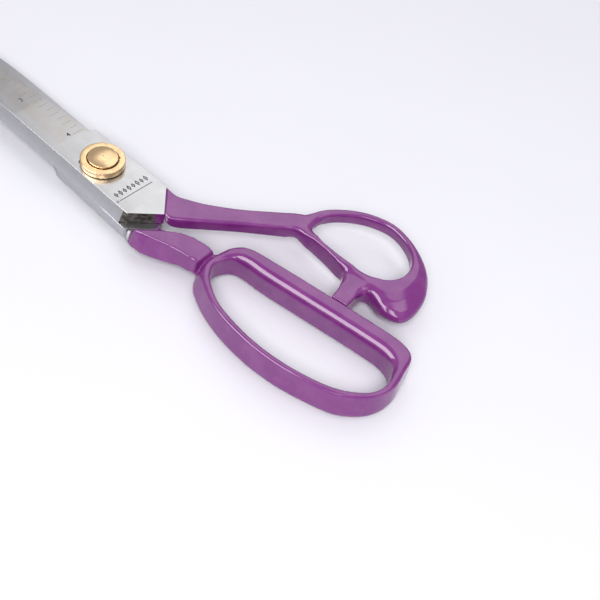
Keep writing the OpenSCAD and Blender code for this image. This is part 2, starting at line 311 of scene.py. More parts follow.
def thumb_stop():
    """A rounded bar that widens as it runs into the bow, turned by the stop's lean."""
    rows = along_curve(STOP_ROWS, 8, closed=False)
    wide = np.stack([-rows[:, 1], rows[:, 2]], -1)
    low, high = np.full(len(rows), STOP_LOW), np.full(len(rows), STOP_HIGH)
    corners = np.stack([np.stack([wide[:, side], level], -1)
                        for side, level in ((0, low), (0, high), (1, high), (1, low))], axis=1)
    outline = rounded(corners, np.full((len(rows), 4), STOP_ROUND))
    x, y = outline[:, :, 0], rows[:, 0:1] + np.zeros_like(outline[:, :, 0])
    turned_x = STOP_PLACE[0] + x * math.cos(STOP_LEAN) - y * math.sin(STOP_LEAN)
    turned_y = STOP_PLACE[1] + x * math.sin(STOP_LEAN) + y * math.cos(STOP_LEAN)
    return skin(np.stack([turned_x, turned_y, outline[:, :, 1]], -1))


def block_shell():
    """The finger shank's five-cornered sections, joined straight from row to row. Each lies
    over the line from its left edge to its right one."""
    rows = np.asarray(FINGER_SHANK, float)
    left, top, side, bottom = (rows[:, k:k + 2] for k in (0, 2, 4, 6))
    low, belly, high = (rows[:, k:k + 1] for k in (8, 9, 10))
    corners = [(left, low), (left, high), (top, high), (side, belly), (bottom, low)]
    return skin(np.stack([np.hstack(pair) for pair in corners], axis=1))


CURVE_STEPS = 14  # rings from one station of a bow to the next
BOW_FOOT, SHANK_FOOT = 0.9, 0.8  # reach of the rounding along the lower edges
FLOW_PULL, FLOW_ROUNDS, FILLET_PULL = 0.5, 5, 0.6
FINGER_CELL, THUMB_CELL = 0.35, 0.32  # size of the cells that a casting is remeshed with
# A fillet is (x, y), the distance within which it works in full, the one where it ends, rounds
FINGER_FILLETS = [((57.2, 4.2), 1.5, 4.5, 25), ((56.5, -7.5), 1.5, 4.5, 25)]
THUMB_FILLETS = [((92.8, 32.2), 2, 5, 60), ((103.4, 32.2), 2, 6, 80), ((98, 34), 3, 7, 60),
                 ((68, 34), 2, 5, 40), ((65, 42), 2, 5, 20), ((71, 41), 2, 6, 140)]


def relaxed(points, edges, pull, rounds):
    """Moves every point towards the mean of its neighbours, by its own pull, again and again."""
    count = len(points)
    one, two = edges[:, 0], edges[:, 1]
    neighbours = np.bincount(one, minlength=count) + np.bincount(two, minlength=count)
    for _ in range(rounds):
        mean = np.stack([
            np.bincount(one, points[two, k], count) + np.bincount(two, points[one, k], count)
            for k in range(3)], -1) / neighbours[:, None]
        points = points + pull[:, None] * (mean - points)
    return points


def near(points, spot, inside, outside):
    """1 within the inside distance of the spot in plan, falling smoothly to 0 outside."""
    away = np.hypot(points[:, 0] - spot[0], points[:, 1] - spot[1])
    full = np.clip((outside - away) / (outside - inside), 0, 1)
    return full * full * (3 - 2 * full)


def enamelled(name, shells, cell, fillets):
    """Casts overlapping shells into one skin, then lets it flow: a little everywhere, and much
    more near the fillets."""
    made = solid(name, shells, [])
    apply_modifier(made, "REMESH", mode="VOXEL", voxel_size=cell * MM)
    mesh = made.data
    flat = np.empty(len(mesh.vertices) * 3, np.float32)
    mesh.vertices.foreach_get("co", flat)
    points = flat.reshape(-1, 3).astype(float) / MM
    ends = np.empty(len(mesh.edges) * 2, np.int32)
    mesh.edges.foreach_get("vertices", ends)
    edges = ends.reshape(-1, 2)
    points = relaxed(points, edges, np.full(len(points), FLOW_PULL), FLOW_ROUNDS)
    for spot, inside, outside, rounds in fillets:
        pull = FILLET_PULL * near(points, spot, inside, outside)
        points = relaxed(points, edges, pull, rounds)
    mesh.vertices.foreach_set("co", (points * MM).astype(np.float32).ravel())
    mesh.update()
    mesh.shade_smooth()
    return made


def finger_handle(enamel):
    curve = along_curve(with_side(FINGER_BOW), CURVE_STEPS, closed=True)
    bow = skin(bow_rings(curve, True, BOW_FOOT), closed=True)
    made = enamelled("finger_handle_cast", [bow, block_shell()], FINGER_CELL, FINGER_FILLETS)
    made.data.materials.append(enamel)
    add_piece(made, "finger_half", "handle_paint", "finger_handle")


def thumb_handle(enamel):
    curve = along_curve(with_side(THUMB_BOW, THUMB_PAD), CURVE_STEPS, closed=True)
    bow = skin(bow_rings(curve, True, BOW_FOOT), closed=True)
    curve = along_curve(with_side(THUMB_SHANK), CURVE_STEPS, closed=False)
    shank = skin(bow_rings(curve, False, SHANK_FOOT))
    made = enamelled("thumb_handle_cast", [bow, shank, thumb_stop()], THUMB_CELL, THUMB_FILLETS)
    made.data.materials.append(enamel)
    add_piece(made, "thumb_half", "handle_paint", "thumb_handle")


# ---------- blades ----------
TIP = -120.0
THICK, TIP_THICK = 4.95, 2.4
THINS_FROM = -40.0  # where a blade starts to thin towards its tip
EDGE_FROM, EDGE_AT_RICASSO, EDGE_AT_TIP = -15.0, 10.8, 2.6
BACK_BENDS_AT, BACK_AT_TIP, BACK_POWER = -52.0, 2.4, 1.9
THUMB_BACK, FINGER_BACK = 11.8, 10.8
THUMB_RICASSO, FINGER_RICASSO = 9.6, 10.8
THUMB_START, FINGER_START = 15.5, 13.0  # how far ahead of the pivot the ground edge starts
THUMB_SHOULDER, FINGER_SHOULDER = 0.6, 3.2  # lengths over which the edge straightens up
FLARE, FLARE_AT_HEEL = 0.028, 1.1  # how fast the ricasso widens, and how much by the heel
TIP_ROUND = 3.0  # how far back from the tip its rounding in plan starts
BORE = 4.05
NECK_HOLE = 2.77  # half the side of the square hole
BY_HEEL = 15.0  # from here on a blade's near side has a finish of its own
HEEL_CORNER = (24.1, -9.2)
BACK_END = 22.1
EDGE_BEVEL, BACK_BEVEL = 3.4, 2.5  # widths of the ground edge and of the back's bevel
EDGE_ROUND = 0.15
BLADE_CRISP = 14  # degrees between two faces past which a blade's edge is sharp
FORGED, SPRAYED = 2, 3  # places of two finishes in a blade's list
FINGER_REACH = 3.72  # how much further the finger blade's heel runs under the thumb shank


def share(x, start, end):
    """How far x is from the start to the end, from 0 to 1."""
    return np.clip((x - start) / (end - start), 0, 1)


def thickness(x):
    return THICK + (TIP_THICK - THICK) * share(x, THINS_FROM, TIP)


def edge_line(x):
    """The cutting edge runs straight in from the ricasso to the tip."""
    return EDGE_AT_RICASSO + (EDGE_AT_TIP - EDGE_AT_RICASSO) * share(x, EDGE_FROM, TIP)


def back_line(x, back):
    """The back is straight, then curves in to the tip."""
    return -back + (back - BACK_AT_TIP) * share(x, BACK_BENDS_AT, TIP) ** BACK_POWER


def blade_shell(back, ricasso, start, shoulder, reach=0.0):
    """Rounded four-cornered sections along X. Ahead of the start of the edge the far side
    slopes down to it; over the shoulder's length it straightens up to the square ricasso; and
    past the pivot both sides follow the heel's two slanting lines to the point where they
    meet. The reach shifts the far one of these lines outwards."""
    far_slope = (JOINT_NEAR[1] - JOINT_FAR[1]) / (JOINT_NEAR[0] - JOINT_FAR[0])
    near_slope = (JOINT_NEAR[1] - HEEL_CORNER[1]) / (JOINT_NEAR[0] - HEEL_CORNER[0])
    end = JOINT_NEAR[0] - 0.1 + reach / (near_slope - far_slope)
    knots = [TIP, TIP + 0.15, TIP + 0.5, TIP + 1.1, TIP + 2, TIP + TIP_ROUND]
    corner = JOINT_FAR[0] + (JOINT_FAR[1] + reach - ricasso - FLARE_AT_HEEL) / -far_slope
    x = np.unique(np.concatenate([
        knots, np.arange(TIP + 4, -start - shoulder, 1.0), [-start - shoulder, -start],
        np.arange(-start + 1, BACK_END, 1.0), [BACK_END, corner, HEEL_CORNER[0]],
        np.arange(25, end, 0.75), [end]]))
    slim = thickness(x) / THICK
    joint = JOINT_FAR[1] + reach + (x - JOINT_FAR[0]) * far_slope
    square = share(x, -start - shoulder, -start)
    far_low = edge_line(x) * (1 - square) + (ricasso + FLARE * (x - EDGE_FROM)) * square
    far_low = np.minimum(far_low, joint)
    far_high = far_low - EDGE_BEVEL * slim * (1 - square)
    heel = HEEL_CORNER[1] + (x - HEEL_CORNER[0]) * near_slope
    turned_in = share(x, BACK_END, HEEL_CORNER[0]) * (back + HEEL_CORNER[1])
    near_low = np.maximum(back_line(x, back) + turned_in, heel)
    near_high = np.maximum(back_line(x, back) + BACK_BEVEL * slim, heel)
    # the tip is rounded in plan
    tip = np.sqrt(1 - np.clip((TIP + TIP_ROUND - x) / (TIP_ROUND + 0.15), 0, 1) ** 2)
    middle = (far_low + near_low) / 2
    sides = [middle + (side - middle) * tip for side in (near_low, far_low, far_high, near_high)]
    low = np.full_like(x, MEETING + GAP)
    levels = [low, low, low + thickness(x), low + thickness(x)]
    corners = np.stack([np.stack(pair, -1) for pair in zip(sides, levels)], axis=1)
    outline = rounded(corners, np.full((len(x), 4), EDGE_ROUND), steps=4)
    return skin(np.concatenate([x[:, None, None] + 0 * outline[:, :, :1], outline], axis=2))


def tube(radius, low, high, sides=96, centre=(0, 0)):
    """A plain round plug for cutting a bore."""
    turn = 2 * np.pi * np.arange(sides) / sides
    ring = np.stack([centre[0] + radius * np.cos(turn), centre[1] + radius * np.sin(turn)], -1)
    return skin(np.stack([np.column_stack([ring, np.full(sides, z)]) for z in (low, high)]))


def turned_over(shell):
    """Turns a shell over about X, through the plane where the blades meet."""
    points, faces = shell
    return points * [1, -1, -1] + [0, 0, 2 * MEETING], faces


def face_kinds(made, inner_sign, near_side):
    """Sorts a blade's faces by where they face: 0 the satin outer face, 1 the ground bevels
    and inner face, 2 the forged heel, and the given kind for the near side by the heel. The
    inner sign is the z direction in which the inner face looks."""
    mesh = made.data
    normals = np.empty(len(mesh.polygons) * 3, np.float32)
    centres = np.empty(len(mesh.polygons) * 3, np.float32)
    mesh.polygons.foreach_get("normal", normals)
    mesh.polygons.foreach_get("center", centres)
    normals, centres = normals.reshape(-1, 3), centres.reshape(-1, 3) / MM
    kinds = np.ones(len(normals), np.int32)
    kinds[normals[:, 2] * inner_sign < -0.9] = 0
    near_face = (normals[:, 1] < -0.6) & (np.abs(normals[:, 2]) < 0.5)
    kinds[(centres[:, 0] > BY_HEEL) & near_face] = near_side
    heel = (centres[:, 0] > BACK_END) & (normals[:, 0] > 0.35)
    kinds[heel & (normals[:, 1] * inner_sign > 0.1)] = FORGED
    mesh.polygons.foreach_set("material_index", kinds)
    mesh.update()


def thumb_blade(steels):
    shell = blade_shell(THUMB_BACK, THUMB_RICASSO, THUMB_START, THUMB_SHOULDER)
    made = solid("thumb_blade_ground", [shell], steels)
    bored(made, tube(BORE, MEETING - 2, MEETING + 7))
    face_kinds(made, -1, 1)
    crisp(made, BLADE_CRISP)
    add_piece(made, "thumb_half", "blade_steel", "thumb_blade")


def finger_blade(steels):
    shell = blade_shell(FINGER_BACK, FINGER_RICASSO, FINGER_START, FINGER_SHOULDER, FINGER_REACH)
    made = solid("finger_blade_ground", [turned_over(shell)], steels)
    ring = NECK_HOLE * np.array([[-1, -1], [1, -1], [1, 1], [-1, 1]])
    levels = MEETING - 7, MEETING + 1
    bored(made, skin(np.stack([np.column_stack([ring, np.full(4, z)]) for z in levels])))
    face_kinds(made, 1, SPRAYED)
    crisp(made, BLADE_CRISP)
    add_piece(made, "finger_half", "blade_steel", "finger_blade")


# ---------- the rule and the ornament on the outer face ----------
PITCH = 25.4 / 8  # the rule is marked in eighths of an inch, from the tip
TICKS, INCHES = 32, 4
TICK_HALF = 0.13
LONG_TICK, MIDDLING_TICK, SHORT_TICK = 4.8, 4.1, 3.2
TICK_INSET, TICK_CLEAR = 1.2, 0.7  # least distances from the ground edge and the back's bevel
FIGURE_HEIGHT, CAPITAL_HEIGHT = 2.15, 0.73  # the second as a share of the font's size
FIGURE_BESIDE, FIGURE_BELOW = 0.1, 1.4  # from the end of a mark to the middle of its figure
PROUD, SUNK = 0.012, 0.03  # how far a mark stands above the face, and reaches into it


def outer_face(x):
    return MEETING + GAP + thickness(x)


def plate(outline):
    """A thin plate over closed outlines in plan, (points, 2), that follows the outer face."""
    top = outer_face(outline[:, 0])
    return skin(np.stack([np.column_stack([outline, top - SUNK]),
                          np.column_stack([outline, top + PROUD])]))


def bar_plate(x, y0, y1, half):
    return plate(np.array([[x - half, y0], [x + half, y0], [x + half, y1], [x - half, y1]]))


def tick_span(k):
    """The k-th mark's x and the two ends it reaches in y, between the back's bevel and the
    ground edge. Every fourth mark is long, every second middling."""
    x = TIP + PITCH * k
    slim = thickness(x) / THICK
    outer = edge_line(x) - EDGE_BEVEL * slim - TICK_INSET
    length = LONG_TICK if k % 4 == 0 else MIDDLING_TICK if k % 2 == 0 else SHORT_TICK
    ridge = back_line(x, THUMB_BACK) + BACK_BEVEL * slim
    return x, max(outer - length, ridge + TICK_CLEAR), outer


def numeral(text, x, y):
    """A figure cut as a thin plate: its foot is towards the pivot and it reads across the
    blade. It is turned into a mesh first, and its points are then set out in plan."""
    curve = bpy.data.curves.new("figure", "FONT")
    curve.body = text
    curve.size = FIGURE_HEIGHT / CAPITAL_HEIGHT
    curve.resolution_u = 3
    curve.extrude = (PROUD + SUNK) / 2
    curve.offset = 0.02
    made = bpy.data.objects.new("figure", curve)
    bpy.context.scene.collection.objects.link(made)
    mesh = bpy.data.meshes.new_from_object(made.evaluated_get(bpy.context.evaluated_depsgraph_get()))
    flat = np.array([v.co for v in mesh.vertices], float).reshape(-1, 3)
    faces = [list(f.vertices) for f in mesh.polygons]
    bpy.data.objects.remove(made)
    width = flat[:, 0].max() + flat[:, 0].min()
    place_x = x - flat[:, 1]
    points = np.column_stack([place_x, y + flat[:, 0] - width / 2,
                              outer_face(place_x) + flat[:, 2] + (PROUD - SUNK) / 2])
    return points, faces


def rule(ink, pale_ink):
    ticks = [bar_plate(x, y0, y1, TICK_HALF) for x, y0, y1 in map(tick_span, range(1, TICKS + 1))]
    made = solid("rule_marks", ticks, [pale_ink])
    add_piece(made, "thumb_half", "blade_steel")
    figures = []
    for inch in range(1, INCHES + 1):
        x, y0, _ = tick_span(TICKS // INCHES * inch)
        figures.append(numeral(str(inch), x + FIGURE_BESIDE, y0 - FIGURE_BELOW))
    made = solid("rule_figures", figures, [ink])
    add_piece(made, "thumb_half", "blade_steel")


LINE_X, LINE_START, LINE_END = 18.0, -7.3, 8.0  # the line under the ornament
LINE_HALF = 0.15
LOZENGES, LOZENGE_X, LOZENGE_PITCH = 8, 15.1, 1.98
LOZENGE_LONG, LOZENGE_LONGER, LOZENGE_WIDE, LOZENGE_STROKE = 2.5, 3.0, 1.5, 0.4
DOT_HALF = 0.24  # the small solid lozenge in the middle of each open one


def lozenge(x, y, long, wide, stroke):
    """An open lozenge: a square frame of flat strip, as four mitred corners."""
    reach = np.array([[long, 0], [0, wide], [-long, 0], [0, -wide]]) / 2
    inner = reach * (1 - 2 * stroke / wide)
    outside, inside = reach + [x, y], inner + [x, y]
    top, bottom = outer_face(x) + PROUD, outer_face(x) - SUNK
    rings = np.stack([np.column_stack([outline, np.full(4, level)]) for outline, level in
                      ((outside, bottom), (outside, top), (inside, top), (inside, bottom))], axis=1)
    return skin(rings, closed=True)


def ornament(ink):
    """A line with a row of lozenges above it, every second one longer, and a small lozenge
    past the line's end."""
    shells = [bar_plate(LINE_X, LINE_START, LINE_END, LINE_HALF)]
    start = (LINE_START + LINE_END) / 2 - LOZENGE_PITCH * (LOZENGES - 1) / 2
    for k in range(LOZENGES):
        y = start + LOZENGE_PITCH * k
        long = LOZENGE_LONGER if k % 2 else LOZENGE_LONG
        shells.append(lozenge(LOZENGE_X, y, long, LOZENGE_WIDE, LOZENGE_STROKE))
        dot = DOT_HALF * np.array([[-1, 0], [0, -1], [1, 0], [0, 1]])
        shells.append(plate(dot + [LOZENGE_X, y]))
    shells.append(lozenge(LINE_X - 0.1, LINE_START - 0.9, long=1.3, wide=1.1, stroke=0.25))
    made = solid("blade_ornament", shells, [ink])
    add_piece(made, "thumb_half", "blade_steel")


# ---------- pivot ----------
SIDES = 128
COLLAR_LOW, COLLAR_HIGH, RECESS = 13.4, 15.8, 14.9
COLLAR_R, RECESS_R, HEAD_R, HEAD_TOP, DOME_TOP = 8.3, 5.9, 5.6, 16.4, 17.2
NOTCH_ANGLE, TAB_ANGLE = math.radians(54), math.radians(227)
NOTCH_R = 0.5
SHANK_R, THREAD_R, THREAD_PITCH, THREAD_DEPTH = 4.0, 2.5, 0.8, 0.42
NECK_HALF, NECK_CORNER_R = 2.75, 3.62  # half the neck's side, and the radius of its corners
TAB_WASHER_R, TAB_REACH, TAB_HALF, TAB_LOW, TAB_HIGH = 8.0, 8.65, 0.5, 13.0, 13.4
NUT_HALF, NUT_LOW, NUT_HIGH = 4.5, 0.3, 2.3


def polar(radius, z):
    """Rings about the Z axis from a radius for every (level, angle) and a height per level."""
    turn = 2 * np.pi * np.arange(radius.shape[1]) / radius.shape[1]
    height = np.asarray(z)[:, None] + 0 * radius
    return np.stack([radius * np.cos(turn), radius * np.sin(turn), height], -1)


def lathe(corners, radii, steps=4):
    """A closed profile of (radius, z) corners with rounded edges, swept round the axis."""
    profile = rounded(np.array([corners], float), np.array([radii], float), steps)[0]
    turn = 2 * np.pi * np.arange(SIDES) / SIDES
    x = np.cos(turn)[:, None] * profile[None, :, 0]
    y = np.sin(turn)[:, None] * profile[None, :, 0]
    z = profile[None, :, 1] + 0 * x
    return skin(np.stack([x, y, z], -1), closed=True)


def collar(brass):
    shell = lathe([(BORE, COLLAR_LOW), (COLLAR_R, COLLAR_LOW), (COLLAR_R, COLLAR_HIGH),
                   (RECESS_R, COLLAR_HIGH), (RECESS_R, RECESS), (BORE, RECESS)],
                  [0.05, 0.2, 0.4, 0.18, 0.1, 0.05], steps=6)
    made = solid("pivot_collar_turned", [shell], [brass])
    centre = RECESS_R * math.cos(NOTCH_ANGLE), RECESS_R * math.sin(NOTCH_ANGLE)
    bored(made, tube(NOTCH_R, RECESS, COLLAR_HIGH + 1, 24, centre))
    crisp(made, 30)
    add_piece(made, "thumb_half", "brass", "pivot_collar")


def bolt(brass):
    """One surface of radius over height and angle: a dome with a turned dimple and a rounded
    rim, the head's side, the round shank, a square neck and a thread whose radius follows
    the height and the angle together."""
    turn = 2 * np.pi * np.arange(SIDES) / SIDES
    around = np.ones((1, SIDES))
    rise = DOME_TOP - HEAD_TOP
    ball = (HEAD_R**2 + rise**2) / (2 * rise)
    r = np.array([0.02, 0.12, 0.25, 0.36, 0.5, 1, 1.6, 2.2, 2.8, 3.4, 4, 4.4, 4.9, 5.3])
    z = DOME_TOP - ball + np.sqrt(ball**2 - r**2) - 0.09 * np.clip(1 - r / 0.4, 0, 1)
    rim = np.linspace(0, np.pi / 2, 6)[1:]
    r = np.concatenate([r, 5.35 + 0.25 * np.sin(rim), [HEAD_R, HEAD_R - 0.06], [SHANK_R] * 3])
    z = np.concatenate([z, z[-1] - 0.01 - 0.26 * (1 - np.cos(rim)),
                        [RECESS + 0.1, RECESS + 0.02, RECESS + 0.02, 8.1, 7.96]])
    square = NECK_HALF / np.maximum(np.abs(np.cos(turn)), np.abs(np.sin(turn)))
    neck = np.minimum(square, NECK_CORNER_R)
    neck_z = np.array([7.95, 7.9, 3.6, 3.5])
    neck_r = np.stack([neck - 0.05, neck, neck, neck - 0.1])
    thread_z = np.linspace(3.48, 0, 71)
    phase = np.abs(((thread_z[:, None] / THREAD_PITCH - turn / (2 * np.pi)) % 1) * 2 - 1)
    run_out = share(thread_z, 0, 0.5)[:, None]
    thread = THREAD_R - THREAD_DEPTH * phase * (0.3 + 0.7 * run_out) - 0.45 * (1 - run_out)
    radius = np.vstack([r[:, None] * around, neck_r, thread])
    made = solid("pivot_bolt_turned", [skin(polar(radius, np.concatenate([z, neck_z, thread_z])))],
                 [brass])
    crisp(made, 35)
    add_piece(made, "finger_half", "brass", "pivot_bolt")


def tab_washer(dark):
    """A thin washer whose outer radius steps out to a square tab at one angle."""
    turn = 2 * np.pi * np.arange(360) / 360
    off = (turn - TAB_ANGLE + np.pi) % (2 * np.pi) - np.pi
    tab = (np.abs(np.tan(off)) * TAB_REACH < TAB_HALF) & (np.abs(off) < 0.5)
    outer = np.where(tab, TAB_REACH / np.cos(off), TAB_WASHER_R)
    low, high = TAB_LOW, TAB_HIGH
    levels = [(outer - 0.06, low), (outer, low + 0.06), (outer, high - 0.06), (outer - 0.06, high),
              (BORE + 0 * outer, high), (BORE + 0 * outer, low)]
    rings = np.stack([np.stack([r * np.cos(turn), r * np.sin(turn), 0 * r + z], -1)
                      for r, z in levels], axis=1)
    made = solid("tab_washer_pressed", [skin(rings, closed=True)], [dark])
    crisp(made, 30)
    add_piece(made, "thumb_half", "spring_steel", "tab_washer")


def spring_washer(dark):
    made = solid("spring_washer_dished", [lathe(
        [(2.7, 2.32), (3.4, 2.32), (5.6, 2.64), (5.6, 3.0), (4.9, 3.0), (2.7, 2.68)],
        [0.06] * 6, steps=3)], [dark])
    crisp(made, 30)
    add_piece(made, "finger_half", "spring_steel", "spring_washer")


def nut(bright):
    """Rings whose radius is the smaller of a hexagon and a chamfer cone, round a plain bore
    with a chamfered mouth."""
    turn = 2 * np.pi * np.arange(120) / 120
    side = (turn + np.pi / 6) % (np.pi / 3) - np.pi / 6
    hexagon = NUT_HALF / np.cos(side)
    low, high = NUT_LOW, NUT_HIGH
    levels = [(2.9, low), (4.3, low), (4.62, low + 0.1), (4.9, low + 0.25), (5.3, low + 0.5),
              (5.3, high - 0.25), (4.95, high - 0.05), (4.6, high), (2.9, high),
              (2.55, high - 0.35), (2.55, low + 0.35)]
    radius = np.stack([np.minimum(cone, hexagon) for cone, _ in levels])
    rings = polar(radius, [z for _, z in levels]).transpose(1, 0, 2)
    made = solid("adjusting_nut_milled", [skin(rings, closed=True)], [bright])
    crisp(made, 20)
    add_piece(made, "adjusting_nut", "nut_steel", "adjusting_nut")


# ---------- finishes ----------
class Wire:
    """A shader socket that Python's operators work on: each adds its Math node."""

    def __init__(self, finish, socket):
        self.finish = finish
        self.socket = socket

    def math(self, operation, *terms):
        return self.finish.node("ShaderNodeMath", {"operation": operation},
                                dict(enumerate(terms)))

    def __add__(self, other):
        return self.math("ADD", self, other)

    def __sub__(self, other):
        return self.math("SUBTRACT", self, other)

    def __rsub__(self, other):
        return self.math("SUBTRACT", other, self)

    def __mul__(self, other):
        return self.math("MULTIPLY", self, other)

    def __pow__(self, other):
        return self.math("POWER", self, other)

    __radd__ = __add__
    __rmul__ = __mul__


class Finish:
    """One material. node() adds any node; the rest are short names for what it is used for."""

    def __init__(self, name):
        self.material = bpy.data.materials.new(name)
        self.material.use_nodes = True
        self.tree = self.material.node_tree
        self.tree.nodes.clear()

    def node(self, kind, settings=None, inputs=None, out=0):
        """Adds a node and gives the wire from one of its outputs, where it has any."""
        made = self.tree.nodes.new(kind)
        for key, value in (settings or {}).items():
            setattr(made, key, value)
        for key, value in (inputs or {}).items():
            if isinstance(value, Wire):
                self.tree.links.new(value.socket, made.inputs[key])
            else:
                made.inputs[key].default_value = value
        return Wire(self, made.outputs[out]) if made.outputs else None

    def place(self):
        return self.node("ShaderNodeTexCoord", out="Object")

    def axes(self):
        """Wires for x, y and z in millimetres."""
        place = self.node("ShaderNodeVectorMath", {"operation": "SCALE"},
                          {0: self.place(), "Scale": 1 / MM})
        made = self.node("ShaderNodeSeparateXYZ", {}, {0: place})
        return [Wire(self, socket) for socket in made.socket.node.outputs]

    def grain(self, size, detail=2.0):
        """Noise from 0 to 1 whose grain measures these millimetres along X, Y and Z."""
        mapped = self.node("ShaderNodeMapping", {}, {
            "Vector": self.place(), "Scale": [1 / (s * MM) for s in size]})
        return self.node("ShaderNodeTexNoise", {}, {
            "Vector": mapped, "Scale": 1.0, "Detail": detail, "Roughness": 0.55})

    def step(self, value, start, end, low=0.0, high=1.0):
        """A smooth step from low to high as the value goes from start to end."""
        return self.node("ShaderNodeMapRange", {"interpolation_type": "SMOOTHSTEP"},
                         {0: value, 1: start, 2: end, 3: low, 4: high})

    def mix(self, factor, a, b):
        """Mixes two colours; a colour is a wire or three numbers."""
        a, b = (c if isinstance(c, Wire) else (*c, 1.0) for c in (a, b))
        return self.node("ShaderNodeMix", {"data_type": "RGBA"}, {0: factor, 6: a, 7: b}, out=2)

    def bump(self, height, millimetres, strength=1.0):
        return self.node("ShaderNodeBump", {}, {
            "Height": height, "Distance": millimetres * MM, "Strength": strength})

    def surface(self, **sockets):
        """Ends the material in one shader. Socket names are written with underscores."""
        values = {}
        for key, value in sockets.items():
            if isinstance(value, tuple):
                value = (*value, 1.0)
            values[key.replace("_", " ")] = value
        shader = self.node("ShaderNodeBsdfPrincipled", {}, values)
        self.node("ShaderNodeOutputMaterial", {}, {"Surface": shader})
        return self.material


PURPLE = (0.17, 0.014, 0.175)
PURPLE_THIN = (0.2, 0.03, 0.2)
BARE_STEEL = (0.3, 0.3, 0.31)
# Paint mist thickens from the first x to the second
MIST, FINGER_MIST, NEAR_SIDE_MIST = (30.6, 32.2), (33.2, 34.4), (26.5, 31.5)
RING_SPACING = 0.12  # of the turning marks in brass


def purple_enamel():
    """Thick glossy enamel: slow waves where it ran, a fine orange peel and cloudy depth. Low on
    the finger handle's front, ahead of a slanting line, the steel is left bare."""
    f = Finish("purple_enamel")
    x, y, z = f.axes()
    cloud = f.grain((7, 7, 7))
    waves = f.grain((4, 4, 4), 1.0)
    peel = f.grain((0.9, 0.9, 0.9), 1.0)
    bare = f.step(x + z, 35.2, 36.4, 1.0, 0.0) * f.step(y, -9.0, -8.0, 1.0, 0.0)
    colour = f.mix(f.step(cloud, 0.35, 0.7), PURPLE, PURPLE_THIN)
    gloss = f.step(peel, 0.3, 0.7, 0.10, 0.14)
    return f.surface(Base_Color=f.mix(bare, colour, BARE_STEEL), Metallic=bare,
                     Roughness=gloss + bare * 0.4, Specular_IOR_Level=0.85,
                     Normal=f.bump(waves * 0.7 + peel * 0.12, 0.05))


def over_spray(f, steel, rough, metal, span):
    """Paint mist on the steel beside the handle, ragged with noise. It thickens over the span
    along X. Gives the colour, the roughness and how metallic it is."""
    x, _, _ = f.axes()
    ragged = f.grain((0.6, 0.6, 0.6))
    mist = f.step(x + ragged * 1.6, *span)
    return f.mix(mist, steel, PURPLE), rough * (1 - mist) + 0.25 * mist, metal * (1 - mist)


def satin_steel():
    """The outer faces: satin ground along the blade, a little cloudy, with a warm cast where
    the rule was etched through its mask."""
    f = Finish("satin_steel")
    x, y, _ = f.axes()
    lines = f.grain((9, 0.16, 9), 3.0)
    clouds = f.grain((6, 5, 6))
    steel = f.mix(f.step(lines, 0.25, 0.75), (0.53, 0.53, 0.54), (0.585, 0.585, 0.595))
    etched = f.step(x, -18.2, -16.2, 1.0, 0.0) * f.step(y, -6.6, -4.6)
    warm = f.mix(f.step(f.grain((5, 5, 5)), 0.4, 0.6), (0.52, 0.485, 0.45), (0.535, 0.515, 0.505))
    colour = f.mix(etched * 0.7, steel, warm)
    rough = f.step(clouds + lines * 0.5, 0.4, 1.1, 0.26, 0.36)
    return f.surface(Base_Color=colour, Metallic=1.0, Roughness=rough,
                     Normal=f.bump(lines, 0.003, 0.6))


def ground_steel(name, span):
    """Bevels and inner faces: ground across the blade, sharper than the satin, with paint mist
    over the span."""
    f = Finish(name)
    lines = f.grain((0.22, 6, 6), 3.0)
    steel = f.mix(f.step(lines, 0.2, 0.8), (0.45, 0.45, 0.475), (0.485, 0.485, 0.51))
    rough = f.step(lines, 0.2, 0.8, 0.27, 0.32)
    colour, rough, metal = over_spray(f, steel, rough, 1.0, span)
    return f.surface(Base_Color=colour, Metallic=metal, Roughness=rough,
                     Normal=f.bump(lines, 0.0015, 0.6))


def forged_skin():
    """The heel as it left the hammer: dark scale, pitted, with paint mist at its end."""
    f = Finish("forged_skin")
    pits = f.grain((0.5, 0.5, 0.5), 4.0)
    scale = f.grain((2.2, 2.2, 1.4), 3.0)
    dark = f.mix(f.step(scale, 0.35, 0.65), (0.035, 0.03, 0.026), (0.16, 0.145, 0.125))
    colour, rough, metal = over_spray(f, dark, f.step(pits, 0.3, 0.7, 0.45, 0.7), 0.6, MIST)
    return f.surface(Base_Color=colour, Metallic=metal, Roughness=rough,
                     Normal=f.bump(pits + scale, 0.12))


def turned_brass():
    """Brass off the lathe: fine rings about the pivot, a faint cloud of handling, and painted
    shade darkening the recess round the head."""
    f = Finish("turned_brass")
    x, y, z = f.axes()
    radius = (x * x + y * y) ** 0.5
    along = f.node("ShaderNodeCombineXYZ", {}, {0: radius * (1 / RING_SPACING)})
    rings = f.node("ShaderNodeTexNoise", {}, {"Vector": along, "Scale": 1.0, "Detail": 2.0})
    cloud = f.grain((2.2, 2.2, 2.2), 3.0)
    clean = f.mix(f.step(cloud, 0.35, 0.7), (0.83, 0.59, 0.33), (0.76, 0.53, 0.31))
    # painted shade: the recess round the head is darkened to dark brown where the head's overhang
    # shades it
    painted_recess_shade = f.step(radius, 5.3, 5.4) * f.step(radius, 6.0, 5.9) * f.step(z, 15.8, 15.7)
    colour = f.mix(painted_recess_shade * 0.85, clean, (0.12, 0.075, 0.035))
    rough = f.step(cloud, 0.3, 0.7, 0.2, 0.3)
    return f.surface(Base_Color=colour, Metallic=1.0, Roughness=rough,
                     Normal=f.bump(rings, 0.006, 0.7))


def blued_spring():
    """Dark blued spring steel with a slight mottle."""
    f = Finish("blued_spring")
    cloud = f.grain((1.2, 1.2, 1.2), 3.0)
    colour = f.mix(cloud, (0.04, 0.04, 0.05), (0.11, 0.11, 0.13))
    return f.surface(Base_Color=colour, Metallic=0.9, Roughness=f.step(cloud, 0.3, 0.7, 0.28, 0.42))


